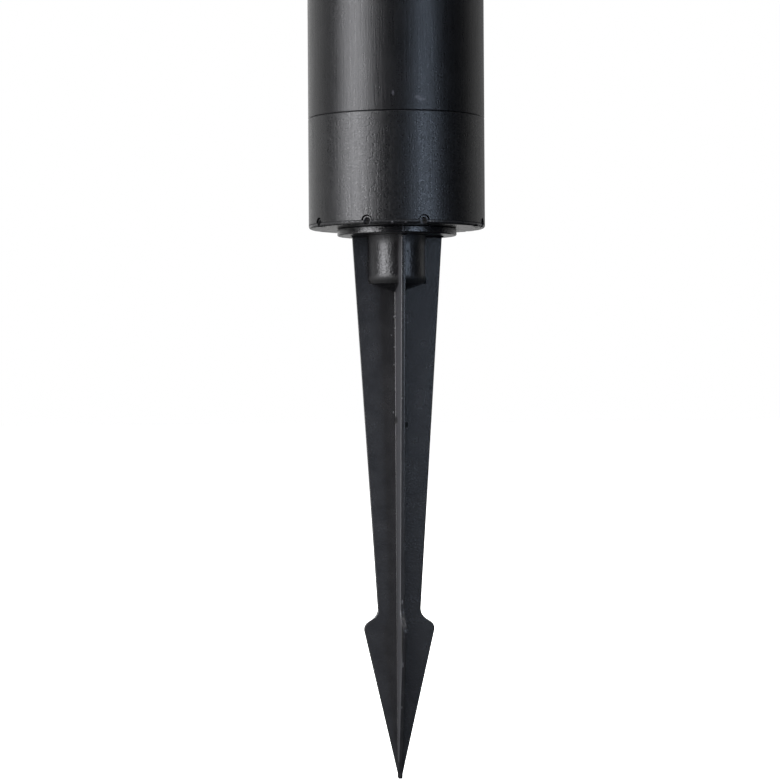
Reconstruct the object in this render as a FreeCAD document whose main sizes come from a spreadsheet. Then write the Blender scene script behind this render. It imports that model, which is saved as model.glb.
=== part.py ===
import FreeCAD, Part
import math
import os
from types import SimpleNamespace

import Sketcher
from FreeCAD import Vector

# Solar bollard light on a ground spike, in millimetres.
# Z is up along the column. Z = 0 is the underside of the spike's flange, which meets the soil.

doc = FreeCAD.newDocument("SolarBollard")
sheet = doc.addObject("Spreadsheet::Sheet", "Dims")

DRIVING_SIZES = {
    # column, collar and base plate
    "column_od": 60.0,
    "column_wall": 2.4,
    "column_length": 250.0,
    "edge_break": 0.25,
    "plug_gap": 0.15,
    "collar_height": 36.15,
    "collar_wall": 2.4,
    "collar_plug": 18.0,
    "collar_plug_wall": 2.2,
    "collar_step": 5.0,
    "base_rim": 1.15,
    "base_round": 0.9,
    "base_floor": 2.6,
    "base_ring": 9.0,
    "base_ring_wall": 1.8,
    "lug_radius": 1.45,
    "lug_gap": 0.45,
    "lug_recess": 0.5,
    "slot_radius": 1.05,
    "stem_od": 15.0,
    "stem_length": 14.0,
    "stem_wall": 2.0,
    "stem_gap": 0.15,
    "key_width": 2.0,
    "key_height": 0.9,
    # ground spike
    "flange_od": 40.6,
    "flange_thick": 2.4,
    "flange_round": 0.4,
    "flange_bevel": 0.35,
    "boss_od": 19.6,
    "boss_depth": 15.95,
    "boss_cone": 3.6,
    "boss_round": 2.6,
    "socket_spare": 1.0,
    "blade_half_width": 15.45,
    "neck_half_width": 7.25,
    "neck_depth": 128.95,
    "neck_round": 4.1,
    "barb_half_width": 12.5,
    "barb_drop": 3.5,
    "barb_round": 2.9,
    "tip_depth": 184.8,
    "tip_half_width": 0.45,
    "fin_root": 1.7,
    "fin_edge": 1.4,
    "fin_round": 0.5,
    "fin_corner": 0.3,
    "fin_flare": 0.6,
    # lens seat, reflector and lens
    "seat_band": 4.0,
    "seat_floor": 2.0,
    "seat_plug": 18.0,
    "seat_plug_wall": 2.2,
    "seat_ring": 7.0,
    "seat_ring_wall": 3.2,
    "reflector_height": 34.0,
    "reflector_shell": 1.4,
    "reflector_tip": 1.6,
    "reflector_curve": 48.0,
    "reflector_post_od": 7.0,
    "reflector_gap": 0.2,
    "lens_height": 72.0,
    "lens_wall": 2.6,
    "flute_count": 36,
    "flute_radius": 1.2,
    "flute_margin": 12.0,
    # lamp head
    "head_height": 36.0,
    "head_wall": 2.4,
    "head_round": 1.6,
    "head_web": 2.5,
    "head_spigot": 9.0,
    "head_spigot_wall": 3.0,
    "head_spigot_gap": 0.2,
    "bezel_width": 3.0,
    "bezel_lip": 0.7,
    "pillar_count": 4,
    "pillar_od": 6.0,
    "oring_cord": 1.8,
    "oring_gap": 0.05,
    "lead_hole_od": 5.0,
    # solar panel
    "panel_gap": 0.2,
    "panel_backing": 1.6,
    "panel_rim": 0.9,
    "panel_cover": 1.75,
    "cell_thick": 0.3,
    "cell_rows": 6,
    "cell_split": 0.4,
    "cell_margin": 0.6,
    "ribbon_thick": 0.15,
    "ribbon_width": 1.2,
    "ribbon_offset": 7.0,
    # charge board
    "board_length": 34.0,
    "board_width": 24.0,
    "board_corner": 8.0,
    "board_thick": 1.6,
    "standoff_height": 6.2,
    "standoff_od": 4.4,
    "standoff_spacing": 24.0,
    # battery
    "battery_od": 14.2,
    "battery_length": 28.7,
    "battery_nub_od": 5.0,
    "battery_nub": 1.0,
    "tray_wall": 1.3,
    "tray_floor": 1.5,
    "tray_gap": 0.15,
    "contact_thick": 0.4,
    "contact_width": 8.0,
    "contact_dome": 0.7,
    # light engine
    "carrier_thick": 2.2,
    "led_board_od": 35.0,
    "led_board_bore": 14.0,
    "led_board_thick": 1.2,
    "led_count": 8,
    "led_circle": 13.4,
    "led_length": 3.5,
    "led_width": 2.8,
    "led_thick": 0.8,
    # switch
    "switch_side": 8.0,
    "switch_height": 6.0,
    "button_od": 7.2,
    "button_reach": 4.0,
    "button_travel": 1.5,
    "button_gap": 0.25,
    "plunger_od": 2.4,
    "plunger_length": 4.0,
    # screws and leads
    "screw_od": 2.6,
    "screw_head_od": 4.8,
    "screw_head": 1.6,
    "screw_bite": 8.0,
    "screw_gap": 0.1,
    "lead_od": 1.2,
    "lead_spacing": 2.6,
}

# Where the first lug of the base plate stands, and the steps from each lug to the next, in degrees.
FIRST_LUG = -24
LUG_STEPS = [49, 41, 41, 41, 53, 41, 37]


class Size:
    # A length as its value now and the formula that keeps it tied to the sheet.
    def __init__(self, mm, formula=None):
        self.mm = float(mm)
        self.formula = formula or repr(float(mm))

    def __add__(self, other):
        other = as_size(other)
        return Size(self.mm + other.mm, f"({self.formula} + {other.formula})")

    def __sub__(self, other):
        other = as_size(other)
        return Size(self.mm - other.mm, f"({self.formula} - {other.formula})")

    def __mul__(self, other):
        other = as_size(other)
        return Size(self.mm * other.mm, f"({self.formula} * {other.formula})")

    def __truediv__(self, other):
        other = as_size(other)
        return Size(self.mm / other.mm, f"({self.formula} / {other.formula})")

    def __neg__(self):
        return Size(-self.mm, f"(0 - {self.formula})")


def as_size(value):
    return value if isinstance(value, Size) else Size(value)


def square_root(size):
    return Size(math.sqrt(size.mm), f"sqrt({size.formula})")


def fill_sheet():
    sizes = {}
    for row, (alias, value) in enumerate(DRIVING_SIZES.items(), start=1):
        sheet.set(f"A{row}", alias)
        sheet.set(f"B{row}", str(value))
        sheet.setAlias(f"B{row}", alias)
        sizes[alias] = Size(value, f"Dims.{alias}")
    doc.recompute()
    return SimpleNamespace(**sizes)


d = fill_sheet()
ZERO = Size(0)

# Radii that several pieces share.
outer = d.column_od / 2
column_bore = outer - d.column_wall
collar_bore = outer - d.collar_wall
lens_bore = outer - d.lens_wall
head_bore = outer - d.head_wall
spigot_radius = lens_bore - d.head_spigot_gap
spigot_bore = spigot_radius - d.head_spigot_wall
seat_ring_radius = lens_bore - d.plug_gap
seat_ring_bore = seat_ring_radius - d.seat_ring_wall
stem_radius = d.stem_od / 2
socket_radius = stem_radius + d.stem_gap
base_ring_radius = collar_bore - d.plug_gap
recess_radius = outer - d.bezel_width
panel_radius = recess_radius - d.panel_gap
pillar_circle = spigot_bore - d.pillar_od / 2 - d.panel_gap
notch_radius = d.lug_radius + d.lug_gap

# Heights of the joints between pieces.
z_base = d.flange_thick
z_rim = z_base + d.base_rim
z_seam = z_rim + d.collar_height
z_seat = z_seam + d.column_length
z_lens = z_seat + d.seat_band
z_head = z_lens + d.lens_height
z_carrier = z_head - d.head_spigot
z_carrier_top = z_carrier + d.carrier_thick
z_top = z_head + d.head_height
panel_stack = d.panel_backing + d.cell_thick + d.ribbon_thick + d.panel_cover
z_recess = z_top - d.bezel_lip - panel_stack
z_ceiling = z_recess - d.head_web
z_cells = z_recess + d.panel_backing
z_ribbons = z_cells + d.cell_thick
z_cover = z_ribbons + d.ribbon_thick
z_board_top = z_ceiling - d.standoff_height
z_board = z_board_top - d.board_thick
z_tray = z_carrier_top + d.switch_height + d.tray_gap
z_battery = z_tray + d.tray_floor + d.tray_gap + d.battery_od / 2
z_led_board = z_carrier - d.led_board_thick

pieces = []


# Drawing helpers.
def bind(item, name, size):
    item.setExpression(name, as_size(size).formula)


def new_body(label, height=ZERO):
    body = doc.addObject("PartDesign::Body", label)
    body.Label = label
    body.AllowCompound = True
    bind(body, "Placement.Base.z", height)
    pieces.append(body)
    return body


def origin_part(body, role):
    return next(f for f in body.Origin.OriginFeatures if f.Role == role)


def new_sketch(body, role, lift=ZERO):
    sketch = body.newObject("Sketcher::SketchObject", "Sketch")
    sketch.AttachmentSupport = [(origin_part(body, role), "")]
    sketch.MapMode = "FlatFace"
    bind(sketch, "AttachmentOffset.Base.z", lift)
    return sketch


def lug_sketch(body, reach):
    # An upright sketch that faces outward at the first lug, this far from the axis.
    sketch = new_sketch(body, "YZ_Plane")
    angle = math.radians(FIRST_LUG)
    sketch.AttachmentOffset = FreeCAD.Placement(Vector(), FreeCAD.Rotation(Vector(0, 1, 0), FIRST_LUG))
    bind(sketch, "AttachmentOffset.Base.x", reach * math.sin(angle))
    bind(sketch, "AttachmentOffset.Base.z", reach * math.cos(angle))
    return sketch


def pin(sketch, kind, shape, end, size):
    index = sketch.addConstraint(Sketcher.Constraint(kind, -1, 1, shape, end, as_size(size).mm))
    bind(sketch, f"Constraints[{index}]", size)


def pin_point(sketch, shape, end, x, y):
    pin(sketch, "DistanceX", shape, end, x)
    pin(sketch, "DistanceY", shape, end, y)


def pin_radius(sketch, shape, radius):
    index = sketch.addConstraint(Sketcher.Constraint("Radius", shape, radius.mm))
    bind(sketch, f"Constraints[{index}]", radius)


def circle(sketch, x, y, radius):
    centre = Vector(as_size(x).mm, as_size(y).mm, 0)
    shape = sketch.addGeometry(Part.Circle(centre, Vector(0, 0, 1), radius.mm))
    pin_point(sketch, shape, 3, x, y)
    pin_radius(sketch, shape, radius)


def rounding(before, corner, after, radius):
    # Where an arc of this radius touches the two sides of a corner, and its centre.
    back = (before - corner).normalize()
    ahead = (after - corner).normalize()
    half_angle = back.getAngle(ahead) / 2
    reach = radius / math.tan(half_angle)
    centre = corner + (back + ahead).normalize() * (radius / math.sin(half_angle))
    turns_left = (corner - before).cross(after - corner).z > 0
    return corner + back * reach, corner + ahead * reach, centre, turns_left


def outline(sketch, corners):
    # A closed outline of straight sides. Each corner is (x, y), or (x, y, radius) where it is rounded.
    points = [Vector(as_size(c[0]).mm, as_size(c[1]).mm, 0) for c in corners]
    count = len(points)
    rounds = {}
    for i, corner in enumerate(corners):
        if len(corner) == 3:
            rounds[i] = rounding(points[i - 1], points[i], points[(i + 1) % count], corner[2].mm)
    sides = []
    for i in range(count):
        start = rounds[i][1] if i in rounds else points[i]
        j = (i + 1) % count
        end = rounds[j][0] if j in rounds else points[j]
        sides.append(sketch.addGeometry(Part.LineSegment(start, end)))
    for i, corner in enumerate(corners):
        before, after = sides[i - 1], sides[i]
        if i not in rounds:
            sketch.addConstraint(Sketcher.Constraint("Coincident", before, 2, after, 1))
            pin_point(sketch, after, 1, corner[0], corner[1])
            continue
        arrive, leave, centre, turns_left = rounds[i]
        first, last = (arrive, leave) if turns_left else (leave, arrive)
        ring = Part.Circle(centre, Vector(0, 0, 1), corner[2].mm)
        start_angle = math.atan2(first.y - centre.y, first.x - centre.x)
        end_angle = math.atan2(last.y - centre.y, last.x - centre.x)
        arc = sketch.addGeometry(Part.ArcOfCircle(ring, start_angle, end_angle))
        arc_in, arc_out = (1, 2) if turns_left else (2, 1)
        sketch.addConstraint(Sketcher.Constraint("Tangent", before, 2, arc, arc_in))
        sketch.addConstraint(Sketcher.Constraint("Tangent", after, 1, arc, arc_out))
        mark = sketch.addGeometry(Part.Point(points[i]), True)
        pin_point(sketch, mark, 1, corner[0], corner[1])
        sketch.addConstraint(Sketcher.Constraint("PointOnObject", mark, 1, before))
        sketch.addConstraint(Sketcher.Constraint("PointOnObject", mark, 1, after))
        pin_radius(sketch, arc, corner[2])


def box_outline(sketch, x_low, y_low, x_high, y_high):
    outline(sketch, [(x_low, y_low), (x_high, y_low), (x_high, y_high), (x_low, y_high)])


def feature(body, kind, sketch):
    item = body.newObject(f"PartDesign::{kind}", kind)
    item.Profile = sketch
    return item


def turn(body, corners, kind="Revolution"):
    # A turned form about Z, or with kind "Groove" a turned cut, from half its section.
    sketch = new_sketch(body, "XZ_Plane")
    outline(sketch, corners)
    item = feature(body, kind, sketch)
    item.ReferenceAxis = (sketch, ["V_Axis"])
    item.Angle = 360
    return item


def pad(body, sketch, length):
    item = feature(body, "Pad", sketch)
    bind(item, "Length", length)
    return item


def pocket(body, sketch, depth, upward=False):
    item = feature(body, "Pocket", sketch)
    bind(item, "Length", depth)
    item.Reversed = upward
    return item


def ring_of(body, features, count):
    doc.recompute()
    pattern = body.newObject("PartDesign::PolarPattern", "Ring")
    pattern.Originals = features
    pattern.Axis = (origin_part(body, "Z_Axis"), [""])
    pattern.Angle = 360
    bind(pattern, "Occurrences", count)
    body.Tip = pattern
    return pattern


def lugs_around(body, item):
    # Repeats a lug, or a cut for one, round the axis at the uneven steps.
    doc.recompute()
    pattern = body.newObject("PartDesign::PolarPattern", "Lugs")
    pattern.Originals = [item]
    pattern.Axis = (origin_part(body, "Z_Axis"), [""])
    pattern.Mode = "Spacing"
    pattern.Occurrences = len(LUG_STEPS) + 1
    pattern.Spacings = LUG_STEPS
    body.Tip = pattern


def group(label, items):
    compound = doc.addObject("Part::Compound", label)
    compound.Label = label
    compound.Links = items
    pieces.append(compound)


def place(item, x=ZERO, y=ZERO, z=ZERO):
    for axis, size in zip("xyz", (x, y, z)):
        bind(item, f"Placement.Base.{axis}", size)


def rod(name, radius, length, x=ZERO, y=ZERO, z=ZERO):
    item = doc.addObject("Part::Cylinder", name)
    bind(item, "Radius", radius)
    bind(item, "Height", length)
    place(item, x, y, z)
    return item


def block(name, length, width, height, x=ZERO, y=ZERO, z=ZERO):
    # A box centred on x and y, standing on z.
    item = doc.addObject("Part::Box", name)
    bind(item, "Length", length)
    bind(item, "Width", width)
    bind(item, "Height", height)
    place(item, x - length / 2, y - width / 2, z)
    return item


def joined(label, items):
    item = doc.addObject("Part::MultiFuse", label)
    item.Label = label
    item.Shapes = items
    item.Refine = True
    return item


# Ground spike: four drafted, round-edged fins with a barbed point, under a flange and a keyed socket.
def make_ground_spike():
    body = new_body("ground_spike")
    barb_depth = d.neck_depth + d.barb_drop
    blade = new_sketch(body, "XZ_Plane")
    outline(blade, [
        (d.blade_half_width, ZERO),
        (d.neck_half_width, -d.neck_depth, d.neck_round),
        (d.barb_half_width, -barb_depth, d.barb_round),
        (d.tip_half_width, -d.tip_depth),
        (-d.tip_half_width, -d.tip_depth),
        (-d.barb_half_width, -barb_depth, d.barb_round),
        (-d.neck_half_width, -d.neck_depth, d.neck_round),
        (-d.blade_half_width, ZERO),
    ])
    plate = pad(body, blade, d.fin_root)
    plate.SideType = "Symmetric"
    crossed(body, round_sides(body, plate, d.fin_round))
    root, edge = d.fin_root / 2, d.fin_edge / 2
    core_half = root + d.fin_corner
    point_slope = (d.tip_depth - barb_depth) / (d.barb_half_width - d.tip_half_width)
    core = new_sketch(body, "XY_Plane")
    box_outline(core, -core_half, -core_half, core_half, core_half)
    spine = pad(body, core, d.tip_depth - (core_half - d.tip_half_width) * point_slope)
    spine.Reversed = True
    quadrant = new_sketch(body, "XY_Plane")
    far = d.blade_half_width + d.fin_root
    outline(quadrant, [(root, root, d.fin_corner), (far, edge), (far, far), (edge, far)])
    gap = pocket(body, quadrant, d.tip_depth + d.fin_root)
    ring_of(body, [gap], Size(4))
    boss, flange = d.boss_od / 2, d.flange_od / 2
    turn(body, [
        (ZERO, d.flange_thick),
        (ZERO, -(d.boss_depth + d.boss_cone)),
        (boss, -d.boss_depth, d.boss_round),
        (boss, ZERO),
        (flange, ZERO, d.flange_round),
        (flange, d.flange_thick - d.flange_bevel),
        (flange - d.flange_bevel, d.flange_thick),
    ])
    flare(body, d.fin_flare)
    floor = d.flange_thick - d.stem_length - d.socket_spare
    turn(body, [
        (ZERO, floor),
        (socket_radius, floor),
        (socket_radius, d.flange_thick - d.edge_break),
        (socket_radius + d.edge_break, d.flange_thick),
        (ZERO, d.flange_thick),
    ], "Groove")
    keyway = new_sketch(body, "XY_Plane", d.flange_thick)
    half = d.key_width / 2 + d.stem_gap
    box_outline(keyway, stem_radius - d.key_height, -half, socket_radius + d.key_height, half)
    slot = pocket(body, keyway, d.stem_length + d.socket_spare)
    ring_of(body, [slot], Size(2))


def round_sides(body, plate, radius):
    # Rounds all edges of the two broad faces of an upright plate.
    doc.recompute()
    broad = [f"Face{i}" for i, face in enumerate(plate.Shape.Faces, 1) if abs(face.normalAt(0, 0).y) > 0.9]
    rounds = body.newObject("PartDesign::Fillet", "Rounds")
    rounds.Base = (plate, broad)
    bind(rounds, "Radius", radius)
    return rounds


def crossed(body, plate):
    # Sets a second plate square across the first.
    doc.recompute()
    body.Tip = plate
    cross = body.newObject("PartDesign::PolarPattern", "Cross")
    cross.TransformMode = "Whole shape"
    cross.Axis = (origin_part(body, "Z_Axis"), [""])
    cross.Angle = 90
    cross.Occurrences = 2
    body.Tip = cross


def flare(body, width):
    # A 45 degree blend all round the fins where they meet the flange.
    tip = d.blade_half_width + width
    inner, end = d.fin_root / 2 + width, d.fin_edge / 2 + width
    face = new_sketch(body, "XY_Plane")
    outline(face, [
        (tip, -end), (tip, end), (inner, inner),
        (end, tip), (-end, tip), (-inner, inner),
        (-tip, end), (-tip, -end), (-inner, -inner),
        (-end, -tip), (end, -tip), (inner, -inner),
    ])
    blend = pad(body, face, width)
    blend.Reversed = True
    blend.TaperAngle = -45


# Base plate: closes the collar from below, locks into its notches and plugs into the spike.
def make_base_plate():
    body = new_body("base_plate", z_base)
    ring_bore = base_ring_radius - d.base_ring_wall
    stem_bore = stem_radius - d.stem_wall
    turn(body, [
        (ZERO, -d.stem_length),
        (stem_radius - d.edge_break * 2, -d.stem_length),
        (stem_radius, d.edge_break * 2 - d.stem_length),
        (stem_radius, ZERO),
        (outer, ZERO, d.base_round),
        (outer, d.base_rim - d.edge_break / 2),
        (outer - d.edge_break / 2, d.base_rim),
        (base_ring_radius, d.base_rim),
        (base_ring_radius, d.base_ring),
        (ring_bore, d.base_ring),
        (ring_bore, d.base_floor),
        (stem_bore, d.base_floor),
        (stem_bore, d.stem_wall - d.stem_length),
        (ZERO, d.stem_wall - d.stem_length),
    ])
    lug_start = base_ring_radius - d.base_ring_wall / 2
    face = lug_sketch(body, lug_start)
    half_disc(face, d.lug_radius, d.base_rim)
    lugs_around(body, pad(body, face, outer - d.lug_recess - lug_start))
    slot_start = base_ring_radius - d.plug_gap
    mouth = lug_sketch(body, slot_start)
    arch(mouth, d.slot_radius, d.base_rim)
    lugs_around(body, pocket(body, mouth, outer - slot_start + d.lug_recess, upward=True))
    key_face = new_sketch(body, "XY_Plane", -d.stem_length)
    half = d.key_width / 2
    box_outline(key_face, stem_radius - d.key_height, -half, stem_radius + d.key_height - d.stem_gap, half)
    key = pad(body, key_face, d.stem_length)
    ring_of(body, [key], Size(2))


def half_disc(sketch, radius, height):
    # The upper half of a disc on the vertical axis, with its flat side at this height.
    ring = Part.Circle(Vector(0, height.mm, 0), Vector(0, 0, 1), radius.mm)
    arc = sketch.addGeometry(Part.ArcOfCircle(ring, 0, math.pi))
    left, right = Vector(-radius.mm, height.mm, 0), Vector(radius.mm, height.mm, 0)
    chord = sketch.addGeometry(Part.LineSegment(left, right))
    sketch.addConstraint(Sketcher.Constraint("Coincident", arc, 2, chord, 1))
    sketch.addConstraint(Sketcher.Constraint("Coincident", arc, 1, chord, 2))
    pin_point(sketch, arc, 3, ZERO, height)
    pin_point(sketch, chord, 1, -radius, height)
    sketch.addConstraint(Sketcher.Constraint("Horizontal", chord))


def arch(sketch, radius, height):
    # A round-topped opening that stands on the horizontal axis.
    ring = Part.Circle(Vector(0, height.mm, 0), Vector(0, 0, 1), radius.mm)
    top = sketch.addGeometry(Part.ArcOfCircle(ring, 0, math.pi))
    foot = [(-radius, height), (-radius, ZERO), (radius, ZERO), (radius, height)]
    points = [Vector(x.mm, y.mm, 0) for x, y in foot]
    sides = [sketch.addGeometry(Part.LineSegment(a, b)) for a, b in zip(points, points[1:])]
    sketch.addConstraint(Sketcher.Constraint("Coincident", top, 2, sides[0], 1))
    sketch.addConstraint(Sketcher.Constraint("Coincident", sides[0], 2, sides[1], 1))
    sketch.addConstraint(Sketcher.Constraint("Coincident", sides[1], 2, sides[2], 1))
    sketch.addConstraint(Sketcher.Constraint("Coincident", sides[2], 2, top, 1))
    pin_point(sketch, top, 3, ZERO, height)
    for side, (x, y) in zip(sides, foot):
        pin_point(sketch, side, 1, x, y)
    pin(sketch, "DistanceY", sides[2], 2, height)


# Base collar: the short section under the seam, with drain notches and a plug for the column.
def make_base_collar():
    body = new_body("base_collar", z_rim)
    plug = column_bore - d.plug_gap
    plug_bore = plug - d.collar_plug_wall
    step = d.collar_height - d.collar_step
    turn(body, [
        (collar_bore, ZERO),
        (outer - d.edge_break / 2, ZERO),
        (outer, d.edge_break / 2),
        (outer, d.collar_height - d.edge_break),
        (outer - d.edge_break, d.collar_height),
        (plug, d.collar_height),
        (plug, d.collar_height + d.collar_plug - d.edge_break * 4),
        (plug - d.edge_break * 4, d.collar_height + d.collar_plug),
        (plug_bore, d.collar_height + d.collar_plug),
        (plug_bore, step),
        (collar_bore, step - (collar_bore - plug_bore)),
    ])
    face = lug_sketch(body, collar_bore - d.collar_wall)
    half_disc(face, notch_radius, ZERO)
    lugs_around(body, pocket(body, face, d.collar_wall * 3, upward=True))


# Column: a plain extruded tube with its ends broken.
def make_column_tube():
    body = new_body("column_tube", z_seam)
    turn(body, [
        (column_bore, ZERO),
        (outer - d.edge_break, ZERO),
        (outer, d.edge_break),
        (outer, d.column_length - d.edge_break),
        (outer - d.edge_break, d.column_length),
        (column_bore, d.column_length),
    ])


# Lens seat: plugs into the column and carries the reflector and the lens.
def make_lens_seat():
    body = new_body("lens_seat", z_seat)
    plug = column_bore - d.plug_gap
    plug_bore = plug - d.seat_plug_wall
    groove_low = d.seat_band + (d.seat_ring - d.oring_cord) / 2
    groove_high = groove_low + d.oring_cord
    groove_radius = lens_bore - d.oring_gap * 2 - d.oring_cord
    screw_hole = d.screw_od / 2 + d.screw_gap
    turn(body, [
        (screw_hole, d.seat_band - d.seat_floor),
        (plug_bore, d.seat_band - d.seat_floor),
        (plug_bore, -d.seat_plug),
        (plug - d.edge_break * 4, -d.seat_plug),
        (plug, d.edge_break * 4 - d.seat_plug),
        (plug, ZERO),
        (outer - d.edge_break, ZERO),
        (outer, d.edge_break),
        (outer, d.seat_band - d.edge_break),
        (outer - d.edge_break, d.seat_band),
        (seat_ring_radius, d.seat_band),
        (seat_ring_radius, groove_low),
        (groove_radius, groove_low),
        (groove_radius, groove_high),
        (seat_ring_radius, groove_high),
        (seat_ring_radius, d.seat_band + d.seat_ring),
        (seat_ring_bore, d.seat_band + d.seat_ring),
        (seat_ring_bore, d.seat_band),
        (screw_hole, d.seat_band),
    ])


def make_oring(label, height):
    ring = doc.addObject("Part::Torus", label)
    ring.Label = label
    bind(ring, "Radius1", lens_bore - d.oring_gap - d.oring_cord / 2)
    bind(ring, "Radius2", d.oring_cord / 2)
    place(ring, z=height)
    pieces.append(ring)


# Reflector: a hollow bell that throws the downward light out through the lens.
def make_reflector():
    body = new_body("reflector", z_lens)
    foot = seat_ring_bore - d.reflector_gap
    post = d.reflector_post_od / 2
    sketch = new_sketch(body, "XZ_Plane")
    bell_section(sketch, foot, d.reflector_tip, d.reflector_height, d.reflector_curve)
    bell = feature(body, "Revolution", sketch)
    bell.ReferenceAxis = (sketch, ["V_Axis"])
    bell.Angle = 360
    hollow = new_sketch(body, "XZ_Plane")
    inner_height = d.reflector_height - d.reflector_shell * 6
    bell_section(hollow, foot - d.reflector_shell, post, inner_height, d.reflector_curve, post)
    cut = feature(body, "Groove", hollow)
    cut.ReferenceAxis = (hollow, ["V_Axis"])
    cut.Angle = 360
    turn(body, [
        (ZERO, ZERO),
        (d.screw_od / 2, ZERO),
        (d.screw_od / 2, d.screw_bite + d.reflector_shell),
        (ZERO, d.screw_bite + d.reflector_shell),
    ], "Groove")


def bell_section(sketch, foot, tip, height, curve, inner=ZERO):
    # Half of a bell: a hollow-ground flank from the foot up to the tip, closed along the inner radius.
    start, end = Vector(foot.mm, 0, 0), Vector(tip.mm, height.mm, 0)
    middle = (start + end) / 2
    chord = end - start
    sagitta_arm = math.sqrt(curve.mm**2 - (chord.Length / 2) ** 2)
    centre = middle + Vector(chord.y, -chord.x, 0).normalize() * sagitta_arm
    ring = Part.Circle(centre, Vector(0, 0, 1), curve.mm)
    angles = [math.atan2(p.y - centre.y, p.x - centre.x) for p in (end, start)]
    flank = sketch.addGeometry(Part.ArcOfCircle(ring, angles[0], angles[1]))
    if tip is inner:
        corners = [(inner, ZERO)]
    else:
        corners = [(inner, height), (inner, ZERO)]
    points = [end] + [Vector(x.mm, y.mm, 0) for x, y in corners] + [start]
    sides = [sketch.addGeometry(Part.LineSegment(a, b)) for a, b in zip(points, points[1:])]
    sketch.addConstraint(Sketcher.Constraint("Coincident", flank, 1, sides[0], 1))
    sketch.addConstraint(Sketcher.Constraint("Coincident", flank, 2, sides[-1], 2))
    for before, after in zip(sides, sides[1:]):
        sketch.addConstraint(Sketcher.Constraint("Coincident", before, 2, after, 1))
    pin_point(sketch, flank, 1, tip, height)
    pin_point(sketch, flank, 2, foot, ZERO)
    pin_radius(sketch, flank, curve)
    for side, (x, y) in zip(sides, corners):
        pin_point(sketch, side, 2, x, y)


# Lens: a clear tube with flutes down the inside.
def make_lens():
    body = new_body("lens", z_lens)
    turn(body, [
        (lens_bore, ZERO),
        (outer - d.edge_break, ZERO),
        (outer, d.edge_break),
        (outer, d.lens_height - d.edge_break),
        (outer - d.edge_break, d.lens_height),
        (lens_bore, d.lens_height),
    ])
    section = new_sketch(body, "XY_Plane", d.flute_margin)
    circle(section, lens_bore, ZERO, d.flute_radius)
    flute = pocket(body, section, d.lens_height - d.flute_margin * 2, upward=True)
    ring_of(body, [flute], d.flute_count)


# Head housing: a cap with a spigot for the lens, a recess for the panel and pillars for the carrier.
def make_head_housing():
    body = new_body("head_housing", z_head)
    ceiling, recess = z_ceiling - z_head, z_recess - z_head
    shoulder = spigot_radius - spigot_bore
    groove_low = -(d.head_spigot / 2) - d.oring_cord / 2
    groove_high = groove_low + d.oring_cord
    groove_radius = lens_bore - d.oring_gap * 2 - d.oring_cord
    turn(body, [
        (ZERO, ceiling),
        (head_bore, ceiling),
        (head_bore, shoulder * 2),
        (spigot_bore, shoulder),
        (spigot_bore, -d.head_spigot),
        (spigot_radius - d.edge_break * 2, -d.head_spigot),
        (spigot_radius, d.edge_break * 2 - d.head_spigot),
        (spigot_radius, groove_low),
        (groove_radius, groove_low),
        (groove_radius, groove_high),
        (spigot_radius, groove_high),
        (spigot_radius, ZERO),
        (outer - d.edge_break, ZERO),
        (outer, d.edge_break),
        (outer, d.head_height, d.head_round),
        (recess_radius, d.head_height),
        (recess_radius, recess),
        (ZERO, recess),
    ])
    foot = z_carrier_top - z_head
    pillar_face = new_sketch(body, "XY_Plane", foot)
    offset = pillar_circle / math.sqrt(2)
    circle(pillar_face, offset, offset, d.pillar_od / 2)
    pillar = pad(body, pillar_face, ceiling - foot)
    ring_of(body, [pillar], d.pillar_count)
    pilot_face = new_sketch(body, "XY_Plane", foot)
    circle(pilot_face, offset, offset, d.screw_od / 2)
    pilot = pocket(body, pilot_face, d.screw_bite, upward=True)
    ring_of(body, [pilot], d.pillar_count)
    standoff_face = new_sketch(body, "XY_Plane", ceiling - d.standoff_height)
    circle(standoff_face, d.standoff_spacing / 2, ZERO, d.standoff_od / 2)
    standoff = pad(body, standoff_face, d.standoff_height)
    ring_of(body, [standoff], Size(2))
    board_pilot_face = new_sketch(body, "XY_Plane", ceiling - d.standoff_height)
    circle(board_pilot_face, d.standoff_spacing / 2, ZERO, d.screw_od / 2)
    board_pilot = pocket(body, board_pilot_face, d.standoff_height, upward=True)
    ring_of(body, [board_pilot], Size(2))
    hole_face = new_sketch(body, "XY_Plane", ceiling)
    circle(hole_face, ZERO, panel_lead_y, d.lead_hole_od / 2)
    pocket(body, hole_face, d.head_web, upward=True)


# Solar panel: backing, rows of cells cut to the round, two ribbons and a clear cover.
def make_solar_panel():
    backing = rod("panel_backing", panel_radius, d.panel_backing, z=z_recess)
    backing.Label = "panel_backing"
    pieces.append(backing)

    field = panel_radius - d.panel_rim - d.cell_margin
    pitch = field * 2 / d.cell_rows
    rows = round(d.cell_rows.mm)
    cells = []
    for row in range(rows):
        middle = pitch * (row + 0.5) - field
        edge = pitch * max(row + 1 - rows / 2, rows / 2 - row)
        half_length = square_root(field * field - edge * edge + pitch * pitch / 4)
        width = pitch - d.cell_split
        cells.append(block(f"cell_{row + 1}", half_length * 2, width, d.cell_thick, y=middle, z=z_cells))
    group("solar_cells", cells)

    span = (field - d.cell_split) * 2
    ribbons = []
    for side in (-1, 1):
        x = d.ribbon_offset * side
        ribbons.append(block(f"ribbon_{side}", d.ribbon_width, span, d.ribbon_thick, x=x, z=z_ribbons))
    group("cell_ribbons", ribbons)

    cover = new_body("panel_cover", z_cells)
    skirt = panel_radius - d.panel_rim
    under = d.cell_thick + d.ribbon_thick
    turn(cover, [
        (ZERO, under),
        (skirt, under),
        (skirt, ZERO),
        (panel_radius, ZERO),
        (panel_radius, under + d.panel_cover, d.edge_break * 2),
        (ZERO, under + d.panel_cover),
    ])


# Charge board under the ceiling, its parts and its two screws.
panel_lead_y = d.board_width / 4


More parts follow.
